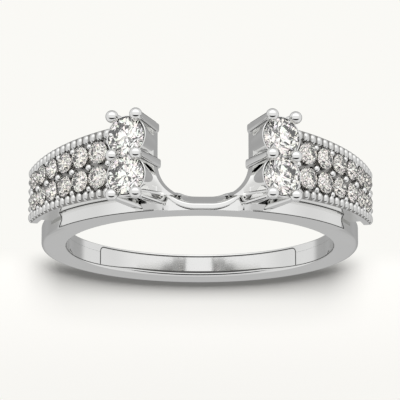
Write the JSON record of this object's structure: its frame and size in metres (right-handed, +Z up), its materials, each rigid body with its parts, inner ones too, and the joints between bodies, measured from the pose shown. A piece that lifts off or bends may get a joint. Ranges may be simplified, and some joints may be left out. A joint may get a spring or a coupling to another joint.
{
  "type": "ring guard enhancer",
  "caption": "Slim polished ring guard: a round shank with a notch for another ring's head, claw-set heads beside it and paved, milgrain-edged shoulders.",
  "frame": {"origin": "centre of the bounding box's bottom, on the floor that the ring lies on", "axes": "+Z up from the floor; -Y towards the notch and the heads; +X across the ring. The ring lies on its open back side, as it rests by itself, so the finger's axis leans about 13 degrees from +Z towards +Y"},
  "size_m": [0.0224, 0.0238, 0.0065],
  "materials": {
    "metal": "high polish white metal",
    "main_stone": "polished, faceted, clear",
    "pave_stone": "polished, faceted, clear"
  },
  "bodies": {
    "root": {"ring_body": "metal", "main_stone_1_1": "main_stone", "main_stone_1_2": "main_stone", "main_stone_2_1": "main_stone", "main_stone_2_2": "main_stone", "pave_stone_1_1_1": "pave_stone", "pave_stone_1_1_2": "pave_stone", "pave_stone_1_1_3": "pave_stone", "pave_stone_1_1_4": "pave_stone", "pave_stone_1_1_5": "pave_stone", "pave_stone_1_1_6": "pave_stone", "pave_stone_1_2_1": "pave_stone", "pave_stone_1_2_2": "pave_stone", "pave_stone_1_2_3": "pave_stone", "pave_stone_1_2_4": "pave_stone", "pave_stone_1_2_5": "pave_stone", "pave_stone_1_2_6": "pave_stone", "pave_stone_2_1_1": "pave_stone", "pave_stone_2_1_2": "pave_stone", "pave_stone_2_1_3": "pave_stone", "pave_stone_2_1_4": "pave_stone", "pave_stone_2_1_5": "pave_stone", "pave_stone_2_1_6": "pave_stone", "pave_stone_2_2_1": "pave_stone", "pave_stone_2_2_2": "pave_stone", "pave_stone_2_2_3": "pave_stone", "pave_stone_2_2_4": "pave_stone", "pave_stone_2_2_5": "pave_stone", "pave_stone_2_2_6": "pave_stone"}
  },
  "joints": []
}
